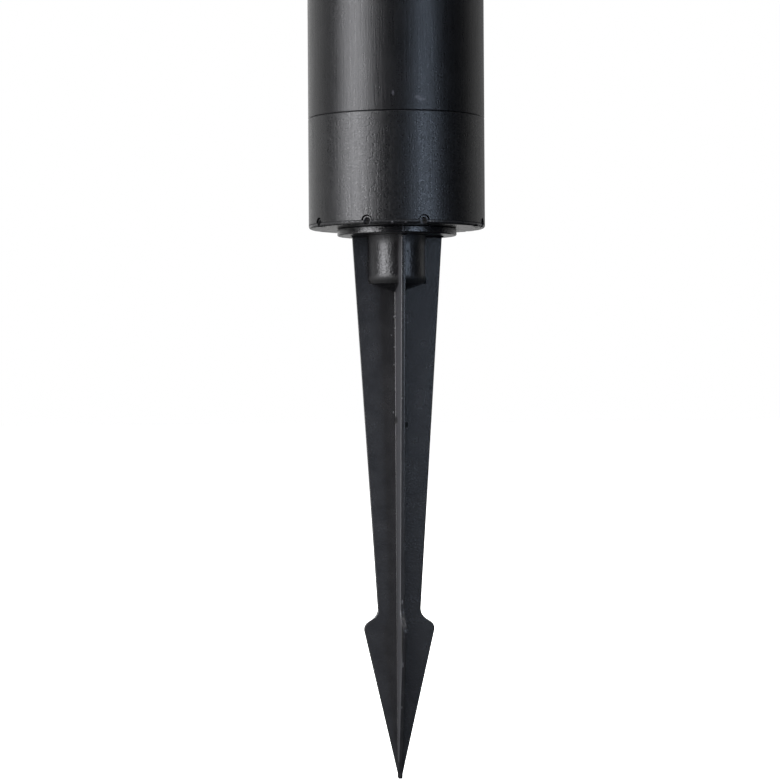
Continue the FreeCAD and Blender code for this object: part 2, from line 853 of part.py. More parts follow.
def make_charge_board():
    body = new_body("charge_board", z_board)
    face = new_sketch(body, "XY_Plane")
    x, y, cut = d.board_length / 2, d.board_width / 2, d.board_corner
    outline(face, [
        (x, cut - y), (x, y - cut), (x - cut, y), (cut - x, y),
        (-x, y - cut), (-x, cut - y), (cut - x, -y), (x - cut, -y),
    ])
    pad(body, face, d.board_thick)
    holes = new_sketch(body, "XY_Plane")
    circle(holes, d.standoff_spacing / 2, ZERO, d.screw_od / 2 + d.screw_gap)
    hole = pocket(body, holes, d.board_thick, upward=True)
    ring_of(body, [hole], Size(2))

    tall = d.standoff_height - d.head_web / 2
    coil_od = d.board_width / 4
    chip = d.board_width / 5
    group("board_parts", [
        rod("charge_coil", coil_od / 2, tall, x=-coil_od * 0.8, z=z_board_top),
        rod("filter_capacitor", coil_od / 2.4, tall, x=coil_od * 0.4, y=-coil_od, z=z_board_top),
        block("charge_chip", chip, chip * 0.8, chip / 3, x=coil_od * 0.7, z=z_board_top),
    ])
    reach = d.board_thick + d.standoff_height * 0.8
    screw_ring("board_screws", 2, d.standoff_spacing / 2, 0, z_board, reach)


def screw_ring(label, count, circle_radius, first_angle, height, reach):
    # Pan-head screws driven upward, heads under this height, spaced round a circle.
    screws = []
    for i in range(count):
        angle = math.radians(first_angle + 360 * i / count)
        x, y = circle_radius * math.cos(angle), circle_radius * math.sin(angle)
        head = rod("head", d.screw_head_od / 2, d.screw_head, x, y, height - d.screw_head)
        shank = rod("shank", d.screw_od / 2 - d.screw_gap, reach, x, y, height)
        screws.append(joined(f"{label}_{i + 1}", [head, shank]))
    if count > 1:
        group(label, screws)
    else:
        screws[0].Label = label
        pieces.append(screws[0])


# Battery: one short rechargeable cell in a tray that stands over the switch.
def make_battery():
    cell = doc.addObject("Part::Cylinder", "can")
    bind(cell, "Radius", d.battery_od / 2)
    bind(cell, "Height", d.battery_length - d.battery_nub)
    nub = doc.addObject("Part::Cylinder", "nub")
    bind(nub, "Radius", d.battery_nub_od / 2)
    bind(nub, "Height", d.battery_nub)
    place(nub, z=d.battery_length - d.battery_nub)
    battery = joined("battery_cell", [cell, nub])
    battery.Placement = FreeCAD.Placement(Vector(), FreeCAD.Rotation(Vector(0, 1, 0), 90))
    place(battery, x=-d.battery_length / 2, z=z_battery)
    pieces.append(battery)

    inside = d.battery_length + (d.contact_dome + d.contact_thick) * 2
    length = inside + d.tray_wall * 2
    width = d.battery_od + (d.tray_gap + d.tray_wall) * 2
    wall_height = d.tray_floor + d.battery_od * 0.75
    shell = block("tray_block", length, width, wall_height, z=z_tray)
    room = block("tray_room", inside, width - d.tray_wall * 2, wall_height, z=z_tray + d.tray_floor)
    trough = doc.addObject("Part::Cut", "tray_trough")
    trough.Base, trough.Tool = shell, room
    leg_height = z_tray - z_carrier_top + d.tray_floor / 2
    leg_x = length / 2 - d.tray_wall * 2
    legs = []
    for side in (-1, 1):
        x = leg_x * side
        legs.append(block(f"tray_leg_{side}", d.tray_wall * 2, width / 2, leg_height, x=x, z=z_carrier_top))
    tray = joined("battery_tray", [trough] + legs)
    pieces.append(tray)

    contacts = []
    plate_height = d.battery_od * 0.85
    for side in (-1, 1):
        plate_x = (inside - d.contact_thick) / 2
        plate = block(
            f"contact_plate_{side}", d.contact_thick, d.contact_width, plate_height,
            x=plate_x * side, z=z_tray + d.tray_floor,
        )
        dome = doc.addObject("Part::Cone", f"contact_dome_{side}")
        bind(dome, "Radius1", d.contact_width / 3)
        bind(dome, "Radius2", d.battery_nub_od / 3)
        bind(dome, "Height", d.contact_dome)
        dome.Placement = FreeCAD.Placement(Vector(), FreeCAD.Rotation(Vector(0, 1, 0), -90 * side))
        place(dome, x=(plate_x - d.contact_thick / 2) * side, z=z_battery)
        contacts.append(joined(f"contact_{side}", [plate, dome]))
    group("battery_contacts", contacts)


# Light engine: carrier plate, ring board and light-emitting diodes facing down.
def make_light_engine():
    carrier = new_body("led_carrier", z_carrier)
    disc = new_sketch(carrier, "XY_Plane")
    circle(disc, ZERO, ZERO, spigot_bore - d.head_spigot_gap)
    pad(carrier, disc, d.carrier_thick)
    openings = new_sketch(carrier, "XY_Plane")
    circle(openings, ZERO, ZERO, d.button_od / 2 + d.button_gap)
    circle(openings, ZERO, -led_lead_y, d.lead_hole_od / 2)
    pocket(carrier, openings, d.carrier_thick, upward=True)
    screw_face = new_sketch(carrier, "XY_Plane")
    offset = pillar_circle / math.sqrt(2)
    circle(screw_face, offset, offset, d.screw_od / 2 + d.screw_gap)
    hole = pocket(carrier, screw_face, d.carrier_thick, upward=True)
    ring_of(carrier, [hole], d.pillar_count)
    screw_ring("carrier_screws", round(d.pillar_count.mm), pillar_circle, 45, z_carrier,
               d.carrier_thick + d.screw_bite * 0.9)

    board = new_body("led_board", z_led_board)
    ring = new_sketch(board, "XY_Plane")
    circle(ring, ZERO, ZERO, d.led_board_od / 2)
    circle(ring, ZERO, ZERO, d.led_board_bore / 2)
    pad(board, ring, d.led_board_thick)

    chips = new_body("led_chips", z_led_board - d.led_thick)
    face = new_sketch(chips, "XY_Plane")
    x, half_x, half_y = d.led_circle, d.led_length / 2, d.led_width / 2
    box_outline(face, x - half_x, -half_y, x + half_x, half_y)
    chip = pad(chips, face, d.led_thick)
    ring_of(chips, [chip], d.led_count)


led_lead_y = d.board_width / 2 - d.lead_od


# Push switch over the carrier and its button, which hangs below it.
def make_switch():
    body = new_body("switch_body", z_carrier_top)
    case = new_sketch(body, "XY_Plane")
    half = d.switch_side / 2
    box_outline(case, -half, -half, half, half)
    pad(body, case, d.switch_height)
    bore = new_sketch(body, "XY_Plane")
    circle(bore, ZERO, ZERO, d.plunger_od / 2 + d.button_gap)
    pocket(body, bore, d.plunger_length + d.button_travel, upward=True)

    button = new_body("switch_button", z_carrier - d.button_reach)
    top = d.button_reach + d.carrier_thick - d.button_travel - d.button_gap
    turn(button, [
        (ZERO, ZERO),
        (d.button_od / 2, ZERO, d.button_gap * 3),
        (d.button_od / 2, top),
        (d.plunger_od / 2, top),
        (d.plunger_od / 2, top + d.plunger_length),
        (ZERO, top + d.plunger_length),
    ])


# Insulated leads: panel to board, board to battery, board to light engine.
def make_leads():
    radius = d.lead_od / 2
    apart = d.lead_spacing / 2
    contact_x = d.battery_length / 2 + d.contact_dome + d.contact_thick / 2
    contact_top = z_tray + d.tray_floor + d.battery_od * 0.85
    for colour, side in (("red", 1), ("black", -1)):
        runs = {
            "panel_lead": (apart * side, panel_lead_y, z_board_top, z_recess),
            "battery_lead": (contact_x * side, ZERO, contact_top, z_board),
            "led_lead": (apart * side / 2, -led_lead_y, z_carrier, z_board),
        }
        for name, (x, y, low, high) in runs.items():
            lead = rod(f"{name}_{colour}", radius, high - low, x, y, low)
            lead.Label = f"{name}_{colour}"
            pieces.append(lead)


def check_document():
    doc.recompute()
    for item in doc.Objects:
        if "Invalid" in item.State or "Error" in item.State:
            raise RuntimeError(f"{item.Label} failed: {item.State}")
    for piece in pieces:
        if piece.Shape.isNull() or not piece.Shape.isValid() or not piece.Shape.Solids:
            raise RuntimeError(f"{piece.Label} has no valid solid")


def write_parts():
    os.makedirs("parts", exist_ok=True)
    for piece in pieces:
        piece.Shape.exportStep(f"parts/{piece.Label}.step")
        print(f"{piece.Label}: {len(piece.Shape.Solids)} solids, {piece.Shape.Volume:.1f} mm3")


make_ground_spike()
make_base_plate()
make_base_collar()
make_column_tube()
make_lens_seat()
make_oring("seat_oring", z_lens + d.seat_ring / 2)
make_reflector()
screw_ring("reflector_screw", 1, ZERO, 0, z_lens - d.seat_floor, d.seat_floor + d.screw_bite)
make_lens()
make_head_housing()
make_oring("head_oring", z_head - d.head_spigot / 2)
make_solar_panel()
make_charge_board()
make_battery()
make_light_engine()
make_switch()
make_leads()
check_document()
write_parts()
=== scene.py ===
import math

import bmesh
import bpy
from mathutils import Matrix, Vector


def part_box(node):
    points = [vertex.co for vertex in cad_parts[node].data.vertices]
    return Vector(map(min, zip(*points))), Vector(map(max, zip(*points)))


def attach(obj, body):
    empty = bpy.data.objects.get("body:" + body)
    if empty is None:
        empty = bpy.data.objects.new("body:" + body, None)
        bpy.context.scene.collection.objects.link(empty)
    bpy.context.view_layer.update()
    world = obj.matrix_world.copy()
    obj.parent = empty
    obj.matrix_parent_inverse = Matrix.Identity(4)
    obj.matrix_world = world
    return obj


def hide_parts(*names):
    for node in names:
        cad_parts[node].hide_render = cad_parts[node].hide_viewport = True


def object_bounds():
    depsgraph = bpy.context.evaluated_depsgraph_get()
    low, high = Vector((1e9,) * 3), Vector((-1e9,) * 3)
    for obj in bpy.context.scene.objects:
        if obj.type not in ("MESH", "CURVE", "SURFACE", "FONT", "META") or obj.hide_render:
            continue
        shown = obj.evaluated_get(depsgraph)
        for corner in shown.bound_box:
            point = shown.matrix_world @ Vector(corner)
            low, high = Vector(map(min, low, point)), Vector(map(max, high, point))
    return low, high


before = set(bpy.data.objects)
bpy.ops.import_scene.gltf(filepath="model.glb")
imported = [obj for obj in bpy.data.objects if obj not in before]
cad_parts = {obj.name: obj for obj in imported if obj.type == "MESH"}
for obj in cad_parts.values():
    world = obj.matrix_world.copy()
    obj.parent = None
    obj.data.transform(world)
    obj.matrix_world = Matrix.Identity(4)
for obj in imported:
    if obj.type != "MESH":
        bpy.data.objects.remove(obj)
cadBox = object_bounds()
scene = bpy.context.scene
scene.view_settings.view_transform = "Standard"
print("frame loaded:", len(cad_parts), "nodes")


# material helpers, sizes in metres
def newFinish(name, constants):
    finish = bpy.data.materials.new(name)
    finish.use_nodes = True
    tree = finish.node_tree
    shader = tree.nodes["Principled BSDF"]
    for socket, value in constants.items():
        shader.inputs[socket].default_value = value
    return finish, tree, shader


def feed(tree, value, socket):
    if isinstance(value, bpy.types.NodeSocket):
        tree.links.new(value, socket)
    else:
        socket.default_value = value


def place(tree):
    return tree.nodes.new("ShaderNodeTexCoord").outputs["Object"]


def axisOf(tree, axis):
    split = tree.nodes.new("ShaderNodeSeparateXYZ")
    feed(tree, place(tree), split.inputs[0])
    return split.outputs[axis]


def workOut(tree, how, first, second):
    node = tree.nodes.new("ShaderNodeMath")
    node.operation = how
    feed(tree, first, node.inputs[0])
    feed(tree, second, node.inputs[1])
    return node.outputs[0]


def lengthOf(tree, vector):
    reach = tree.nodes.new("ShaderNodeVectorMath")
    reach.operation = "LENGTH"
    feed(tree, vector, reach.inputs[0])
    return reach.outputs["Value"]


def fromAxis(tree):
    # distance from the light's upright axis
    flat = tree.nodes.new("ShaderNodeVectorMath")
    flat.operation = "MULTIPLY"
    flat.inputs[1].default_value = (1, 1, 0)
    feed(tree, place(tree), flat.inputs[0])
    return lengthOf(tree, flat.outputs[0])


def stretched(tree, size):
    # one size, or one for each axis
    sides = size if isinstance(size, tuple) else (size, size, size)
    mapping = tree.nodes.new("ShaderNodeMapping")
    mapping.inputs["Scale"].default_value = [1 / side for side in sides]
    feed(tree, place(tree), mapping.inputs["Vector"])
    return mapping.outputs["Vector"]


def noiseAt(tree, size, detail=3.0, rough=0.55):
    noise = tree.nodes.new("ShaderNodeTexNoise")
    noise.inputs["Scale"].default_value = 1
    noise.inputs["Detail"].default_value = detail
    noise.inputs["Roughness"].default_value = rough
    feed(tree, stretched(tree, size), noise.inputs["Vector"])
    return noise.outputs["Fac"]


def flakesAt(tree, size):
    flakes = tree.nodes.new("ShaderNodeTexVoronoi")
    flakes.inputs["Scale"].default_value = 1
    feed(tree, stretched(tree, size), flakes.inputs["Vector"])
    return flakes.outputs["Color"]


def spread(tree, source, low, high, fromLow=0.3, fromHigh=0.7):
    ramp = tree.nodes.new("ShaderNodeMapRange")
    feed(tree, source, ramp.inputs["Value"])
    for socket, value in zip(("From Min", "From Max", "To Min", "To Max"), (fromLow, fromHigh, low, high)):
        ramp.inputs[socket].default_value = value
    return ramp.outputs["Result"]


def tint(tree, source, dark, light, fromLow=0.3, fromHigh=0.7):
    ramp = tree.nodes.new("ShaderNodeValToRGB")
    for stop, position, colour in zip(ramp.color_ramp.elements, (fromLow, fromHigh), (dark, light)):
        stop.position = position
        stop.color = (*colour, 1)
    feed(tree, source, ramp.inputs["Fac"])
    return ramp.outputs["Color"]


# masks are 1 where they hold and 0 elsewhere
def above(tree, value, limit):
    return workOut(tree, "GREATER_THAN", value, limit)


def below(tree, value, limit):
    return workOut(tree, "LESS_THAN", value, limit)


def both(tree, first, second):
    return workOut(tree, "MULTIPLY", first, second)


def either(tree, first, second):
    return workOut(tree, "MAXIMUM", first, second)


def stripes(tree, along, pitch, width):
    phase = workOut(tree, "FRACT", workOut(tree, "DIVIDE", along, pitch), 0.0)
    return below(tree, phase, width / pitch)


def paintOver(tree, mask, under, over):
    mix = tree.nodes.new("ShaderNodeMix")
    mix.data_type = "RGBA"
    feed(tree, mask, mix.inputs[0])
    for value, socket in ((under, mix.inputs[6]), (over, mix.inputs[7])):
        feed(tree, (*value, 1) if isinstance(value, tuple) else value, socket)
    return mix.outputs[2]


def dulled(tree, gloss, mask, amount):
    return workOut(tree, "ADD", gloss, both(tree, mask, amount))


def wireUp(tree, shader, colour, gloss, heights):
    # heights are pairs of a height socket and its depth
    feed(tree, colour, shader.inputs["Base Color"])
    feed(tree, gloss, shader.inputs["Roughness"])
    normal = None
    for height, depth in heights:
        bump = tree.nodes.new("ShaderNodeBump")
        bump.inputs["Distance"].default_value = depth
        feed(tree, height, bump.inputs["Height"])
        if normal is not None:
            tree.links.new(normal, bump.inputs["Normal"])
        normal = bump.outputs["Normal"]
    tree.links.new(normal, shader.inputs["Normal"])


def mottledFinish(name, look, constants, detail=4):
    finish, tree, shader = newFinish(name, constants)
    mottle = noiseAt(tree, look["size"], detail)
    colour = tint(tree, mottle, look["dark"], look["light"])
    wireUp(tree, shader, colour, spread(tree, mottle, *look["rough"]), [(mottle, look["depth"])])
    return finish


def dress(finish, *nodes):
    for node in nodes:
        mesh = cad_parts[node].data
        mesh.materials.clear()
        mesh.materials.append(finish)


# marks from use and from moulding, with painted shade along the collar's joint and painted light on the front
# fin
markLook = {
    "depth": 0.003,          # how far a mark on a round wall reaches in
    "soft": 0.5,             # share of a spot that fades out
    # painted shade with dirt along the joint between collar and base
    "jointShadeAndDirtTone": (0.0005, 0.0005, 0.0005),
    "jointShadeAndDirtStrength": 0.8,
    "jointShadeAndDirtDull": 0.6,
    "pitTone": (0.001, 0.001, 0.001),
    "pitDull": 0.6,
    # how much duller the front fin's painted light strip is
    "finLightPaintDull": 0.2,
}


def roundSpot(angle, radius, height, wide, tall):
    # a mark on a round wall: degrees right of the front fin, then metres
    turn = math.radians(angle)
    return (radius * math.sin(turn), -radius * math.cos(turn), height), (wide, markLook["depth"], tall)


def spotMask(tree, spots):
    # each spot is a centre and its half sizes
    mask = None
    for centre, size in spots:
        mapping = tree.nodes.new("ShaderNodeMapping")
        mapping.inputs["Scale"].default_value = [1 / side for side in size]
        mapping.inputs["Location"].default_value = [-middle / side for middle, side in zip(centre, size)]
        feed(tree, place(tree), mapping.inputs["Vector"])
        reach = lengthOf(tree, mapping.outputs["Vector"])
        spot = spread(tree, reach, 1.0, 0.0, 1 - markLook["soft"], 1.0)
        mask = spot if mask is None else either(tree, mask, spot)
    return mask


# moulded black: faint colour clouds, speckled gloss and, on turned pieces, drawn streaks
tubeLook = {
    "dark": (0.0016, 0.0017, 0.0020),
    "light": (0.0034, 0.0035, 0.0041),
    "cloudSize": 0.012,
    "shine": 0.5,
    "rough": 0.345,
    "speckleSize": 0.0004,
    "speckle": 0.07,         # swing of the roughness, dot by dot
    "grainDepth": 0.00007,
    "streakSize": (0.0004, 0.0004, 0.02),
    "streak": 0.05,          # swing of the roughness, streak by streak
    "streakDepth": 0.00004,
    "scuffAndGlintTone": (0.026, 0.026, 0.031),
    "scuffsAndGlints": [
        roundSpot(5.1, 0.030, 0.0440, 0.0012, 0.0007),
        roundSpot(7.6, 0.030, 0.0433, 0.0016, 0.0006),
        roundSpot(-10.5, 0.030, 0.0453, 0.0005, 0.0010),
    ],
}
collarLook = dict(
    tubeLook, shine=0.6, rough=0.352, speckleSize=0.0005, speckle=0.09, grainDepth=0.00010, scuffsAndGlints=[],
    jointShadeAndDirt=(0.00355, 0.00018),   # height and half width of the painted shade line along the joint, with dirt
)
baseLook = dict(
    collarLook, dark=(0.010, 0.0103, 0.0112), light=(0.016, 0.0164, 0.0175), rough=0.32, shine=0.5,
    grainDepth=0.00012, streakSize=None, scuffAndGlintTone=(0.13, 0.13, 0.135),
    scuffsAndGlints=[
        # pale specks at the rim's edge: chips, and painted glints
        roundSpot(-11.5, 0.030, 0.0028, 0.0004, 0.0004),
        roundSpot(-3.0, 0.030, 0.0028, 0.0004, 0.0003),
        roundSpot(13.0, 0.030, 0.0031, 0.0003, 0.0002),
        roundSpot(15.1, 0.030, 0.0031, 0.0003, 0.0002),
    ],
    pits=[
        roundSpot(-122.4, 0.0297, 0.0024, 0.0012, 0.0008),
        roundSpot(54.6, 0.0297, 0.0024, 0.0012, 0.0008),
    ],
    slotLightPaint=(0.0291, 0.0027, (0.10, 0.10, 0.105)),   # drain slots painted pale inside, a painted highlight on their walls: reach, foot, tone
)
spikeLook = {
    "dark": (0.0120, 0.0121, 0.0134),
    "light": (0.0200, 0.0201, 0.0218),
    "cloudSize": 0.006,
    "shine": 0.68,
    "rough": 0.25,
    "speckleSize": 0.0007,
    "speckle": 0.02,
    "grainDepth": 0.00015,
    "grainWithin": 0.0099,   # coarse grain on the boss, less on the flange, fine on the fins
    "grainAbove": -0.0163,
    "flangeFoot": -0.0004,
    "flangeWall": 0.0003,    # the flange's underside is below this, its wall above
    "flangeShare": 0.75,
    "finShare": 0.28,
    "grainTone": ((0.0070, 0.0070, 0.0078), (0.0110, 0.0110, 0.0121)),
    "grainRough": 0.07,      # the boss and the flange's underside are this much duller
    # the boss turns duller toward its ends: between which heights, and by how much
    "bossTop": ((-0.0036, -0.0010), 0.26),
    "bossFoot": ((-0.0154, -0.0134), 0.60),
    # the foot is also painted darker, a painted shade on the boss's lower rounding
    "footShadeTone": (0.002, 0.002, 0.0022),
    # front fin's left face painted paler, a painted light where the left lamp falls: its reach across, its
    # root and its tone
    "finLightPaint": ((-0.0012, -0.0006), -0.0016, (0.038, 0.038, 0.042)),
    "scuffAndGlintTone": (0.07, 0.07, 0.075),
    "scuffsAndGlints": [
        roundSpot(24.6, 0.0203, 0.0022, 0.0005, 0.0003),
        ((-0.0004, -0.0123, -0.0552), (0.0004, 0.0008, 0.0004)),
        ((-0.0009, -0.0039, -0.0706), (0.0005, 0.0012, 0.0004)),
        # painted glints along the front fin's root
        ((-0.0013, -0.0009, -0.0275), (0.0004, 0.0006, 0.0005)),
        ((-0.0009, -0.0016, -0.0313), (0.0004, 0.0014, 0.0005)),
        ((-0.0022, -0.0009, -0.0338), (0.0003, 0.0006, 0.0003)),
        ((-0.0013, -0.0009, -0.0378), (0.0003, 0.0006, 0.0004)),
        ((-0.0014, -0.0009, -0.0438), (0.0003, 0.0006, 0.0003)),
        ((-0.0017, -0.0009, -0.0600), (0.0003, 0.0006, 0.0005)),
        # painted glints along the front fin's front edge
        ((-0.0001, -0.0076, -0.1240), (0.0003, 0.0008, 0.0010)),
        ((-0.0002, -0.0112, -0.1352), (0.0003, 0.0008, 0.0009)),
        ((-0.0003, -0.0095, -0.1450), (0.0003, 0.0008, 0.0013)),
        ((-0.0003, -0.0058, -0.1597), (0.0003, 0.0008, 0.0008)),
    ],
    "pits": [
        ((-0.0009, -0.0018, -0.0626), (0.0008, 0.0034, 0.0016)),
        ((0.0028, -0.0009, -0.0643), (0.0009, 0.0007, 0.0014)),
        ((-0.0028, -0.0009, -0.0524), (0.0003, 0.0005, 0.0003)),
        ((-0.0028, -0.0009, -0.0578), (0.0003, 0.0005, 0.0003)),
        roundSpot(13.0, 0.0098, -0.0056, 0.0004, 0.0004),
        ((-0.0007, -0.0124, -0.1400), (0.0008, 0.0032, 0.0180)),   # dulled outer edge of the front barb
    ],
}
trayLook = {
    "dark": baseLook["dark"],
    "light": baseLook["light"],
    "cloudSize": 0.004,
    "shine": 0.5,
    "rough": 0.45,
    "speckleSize": 0.0005,
    "speckle": 0.09,
    "grainDepth": 0.00012,
}


def spikeGrain(tree, look, cloud, colour, gloss):
    # also gives the share of the grain's depth, place by place
    height = axisOf(tree, "Z")
    onBoss = both(tree, below(tree, fromAxis(tree), look["grainWithin"]),
                  above(tree, height, look["grainAbove"]))
    onFlange = above(tree, height, look["flangeFoot"])
    onWall = above(tree, height, look["flangeWall"])
    coarse = either(tree, onBoss, onFlange)
    share = either(tree, either(tree, onBoss, both(tree, onFlange, look["flangeShare"])), look["finShare"])
    colour = paintOver(tree, coarse, colour, tint(tree, cloud, *look["grainTone"]))
    gloss = dulled(tree, gloss, workOut(tree, "SUBTRACT", coarse, onWall), look["grainRough"])
    (topSpan, topDull), (footSpan, footDull) = look["bossTop"], look["bossFoot"]
    top = both(tree, onBoss, spread(tree, height, 0.0, 1.0, *topSpan))
    foot = both(tree, onBoss, spread(tree, height, 1.0, 0.0, *footSpan))
    gloss = dulled(tree, dulled(tree, gloss, top, topDull), foot, footDull)
    # painted shade: the boss's foot painted darker
    return paintOver(tree, foot, colour, look["footShadeTone"]), gloss, share


def addMarks(tree, look, colour, gloss):
    # in the order in which they lie over each other
    # painted light: pale colour inside the drain slots, where they would lie in shade
    if "slotLightPaint" in look:
        reach, foot, tone = look["slotLightPaint"]
        inside = both(tree, below(tree, fromAxis(tree), reach), above(tree, axisOf(tree, "Z"), foot))
        colour = paintOver(tree, inside, colour, tone)
    # painted shade with dirt: a dark, duller line along the collar's joint
    if "jointShadeAndDirt" in look:
        level, half = look["jointShadeAndDirt"]
        away = workOut(tree, "ABSOLUTE", workOut(tree, "SUBTRACT", axisOf(tree, "Z"), level), 0.0)
        line = spread(tree, away, markLook["jointShadeAndDirtStrength"], 0.0, half / 2, half)
        colour = paintOver(tree, line, colour, markLook["jointShadeAndDirtTone"])
        gloss = dulled(tree, gloss, line, markLook["jointShadeAndDirtDull"])
    # painted light: the front fin's left face painted paler and made duller
    if "finLightPaint" in look:
        (left, right), root, tone = look["finLightPaint"]
        across = axisOf(tree, "X")
        strip = both(tree, above(tree, across, left), below(tree, across, right))
        strip = both(tree, strip, below(tree, axisOf(tree, "Y"), root))
        colour = paintOver(tree, strip, colour, tone)
        gloss = dulled(tree, gloss, strip, markLook["finLightPaintDull"])
    if look.get("pits"):
        pits = spotMask(tree, look["pits"])
        colour = paintOver(tree, pits, colour, markLook["pitTone"])
        gloss = dulled(tree, gloss, pits, markLook["pitDull"])
    # pale spots: real scuffs on the tube, painted glints on the rim and the front fin
    if look.get("scuffsAndGlints"):
        colour = paintOver(tree, spotMask(tree, look["scuffsAndGlints"]), colour, look["scuffAndGlintTone"])
    return colour, gloss


def mouldedBlack(name, look):
    finish, tree, shader = newFinish(name, {"Specular IOR Level": look["shine"]})
    cloud = noiseAt(tree, look["cloudSize"], detail=4)
    colour = tint(tree, cloud, look["dark"], look["light"])
    speckle = noiseAt(tree, look["speckleSize"], detail=2)
    gloss = spread(tree, speckle, look["rough"] - look["speckle"], look["rough"] + look["speckle"])
    heights = [(speckle, look["grainDepth"])]
    if "grainWithin" in look:
        colour, gloss, share = spikeGrain(tree, look, cloud, colour, gloss)
        heights = [(both(tree, speckle, share), look["grainDepth"])]
    if look.get("streakSize"):
        streak = noiseAt(tree, look["streakSize"])
        gloss = workOut(tree, "ADD", gloss, spread(tree, streak, -look["streak"], look["streak"]))
        heights.append((streak, look["streakDepth"]))
    colour, gloss = addMarks(tree, look, colour, gloss)
    wireUp(tree, shader, colour, gloss, heights)
    return finish


dress(mouldedBlack("tubeBlack", tubeLook), "column_tube", "lens_seat", "head_housing")
dress(mouldedBlack("collarBlack", collarLook), "base_collar")
dress(mouldedBlack("baseBlack", baseLook), "base_plate")
dress(mouldedBlack("spikeBlack", spikeLook), "ground_spike")
dress(mouldedBlack("trayBlack", trayLook), "battery_tray", "board_parts", "switch_body")
print("black mouldings dressed")

# rubber seals and the button's boot
rubberLook = {
    "dark": (0.010, 0.010, 0.010),
    "light": (0.022, 0.022, 0.023),
    "shine": 0.35,
    "grain": 0.0003,
    "depth": 0.00004,
    "cloudSize": 0.004,
    "rough": (0.55, 0.8),
}


def dullRubber(look):
    finish, tree, shader = newFinish("dullRubber", {"Specular IOR Level": look["shine"]})
    grain = noiseAt(tree, look["grain"])
    gloss = spread(tree, noiseAt(tree, look["cloudSize"]), *look["rough"])
    wireUp(tree, shader, tint(tree, grain, look["dark"], look["light"]), gloss, [(grain, look["depth"])])
    return finish


rubber = dullRubber(rubberLook)
dress(rubber, "seat_oring", "head_oring", "switch_button")

# clear mouldings: a little ripple and haze from the mould
clearLook = {
    "clearLens": {"tone": (0.78, 0.80, 0.81), "clearest": (0.88, 0.895, 0.90), "rough": (0.01, 0.05),
                  "ripple": 0.00003, "index": 1.49, "nodes": ["lens"]},
    "clearCover": {"tone": (0.95, 0.965, 0.97), "clearest": (0.995, 0.997, 0.997), "rough": (0.01, 0.07),
                   "ripple": 0.00002, "index": 1.40, "nodes": ["panel_cover"]},
}
mouldFlow = {"waveSize": (0.012, 0.012, 0.03), "hazeSize": 0.002}


def clearMoulding(name, look, flow):
    finish, tree, shader = newFinish(name, {"Transmission Weight": 1.0, "IOR": look["index"]})
    wave = noiseAt(tree, flow["waveSize"], detail=2)
    gloss = spread(tree, noiseAt(tree, flow["hazeSize"]), *look["rough"])
    wireUp(tree, shader, tint(tree, wave, look["tone"], look["clearest"]), gloss, [(wave, look["ripple"])])
    return finish


for name, look in clearLook.items():
    dress(clearMoulding(name, look, mouldFlow), *look["nodes"])
print("rubber and clear pieces dressed")

# bare and plated metals
metalLook = {
    "mirrorPlating": {"dark": (0.80, 0.80, 0.80), "light": (0.92, 0.92, 0.91), "size": 0.004,
                      "rough": (0.10, 0.22), "depth": 0.00003, "nodes": ["reflector"]},
    "zincSteel": {"dark": (0.42, 0.43, 0.44), "light": (0.66, 0.67, 0.68), "size": (0.0006, 0.0006, 0.0002),
                  "rough": (0.22, 0.42), "depth": 0.00002,
                  "nodes": ["board_screws", "reflector_screw", "carrier_screws"]},
    "tinnedCopper": {"dark": (0.58, 0.57, 0.54), "light": (0.80, 0.79, 0.76), "size": (0.0008, 0.006, 0.0008),
                     "rough": (0.22, 0.45), "depth": 0.00002, "nodes": ["cell_ribbons", "battery_contacts"]},
}
metals = {name: mottledFinish(name, look, {"Metallic": 1.0}) for name, look in metalLook.items()}
for name, look in metalLook.items():
    dress(metals[name], *look["nodes"])
print("metals dressed")

# solar cells: blue-black crystal flakes with printed silver fingers across each row
cellLook = {
    "dark": (0.003, 0.007, 0.030),
    "light": (0.011, 0.028, 0.110),
    "shine": 0.35,
    "flake": 0.0022,
    "flakeSpan": (0.1, 0.9),      # from the darkest flake to the lightest
    "rough": (0.18, 0.34),
    "silver": (0.42, 0.44, 0.46),
    "fingerPitch": 0.0016,
    "fingerWidth": 0.00008,
    "fingerDepth": 0.00001,
    "ripple": 0.0006,
    "rippleDepth": 0.00001,
}


def cellSilicon(look):
    finish, tree, shader = newFinish("cellSilicon", {"Specular IOR Level": look["shine"]})
    flakes = flakesAt(tree, look["flake"])
    crystal = tint(tree, flakes, look["dark"], look["light"], *look["flakeSpan"])
    fingers = stripes(tree, axisOf(tree, "Y"), look["fingerPitch"], look["fingerWidth"])
    ripple = noiseAt(tree, look["ripple"])
    wireUp(tree, shader, paintOver(tree, fingers, crystal, look["silver"]),
           spread(tree, flakes, *look["rough"], 0.0, 1.0),
           [(fingers, look["fingerDepth"]), (ripple, look["rippleDepth"])])
    return finish


dress(cellSilicon(cellLook), "solar_cells")

# circuit boards: lacquer over copper tracks
boardLook = {
    "greenBoard": {"mask": (0.010, 0.060, 0.026), "maskDark": (0.008, 0.048, 0.0208),
                   "track": (0.022, 0.120, 0.050), "pitch": 0.0026, "width": 0.0009,
                   "nodes": ["panel_backing", "charge_board"]},
    "whiteBoard": {"mask": (0.74, 0.75, 0.73), "maskDark": (0.592, 0.600, 0.584),
                   "track": (0.86, 0.87, 0.84), "pitch": 0.0032, "width": 0.0016, "nodes": ["led_board"]},
}
lacquer = {"shine": 0.5, "mottle": 0.0025, "glossSize": 0.0012, "rough": (0.22, 0.42), "trackDepth": 0.00003}


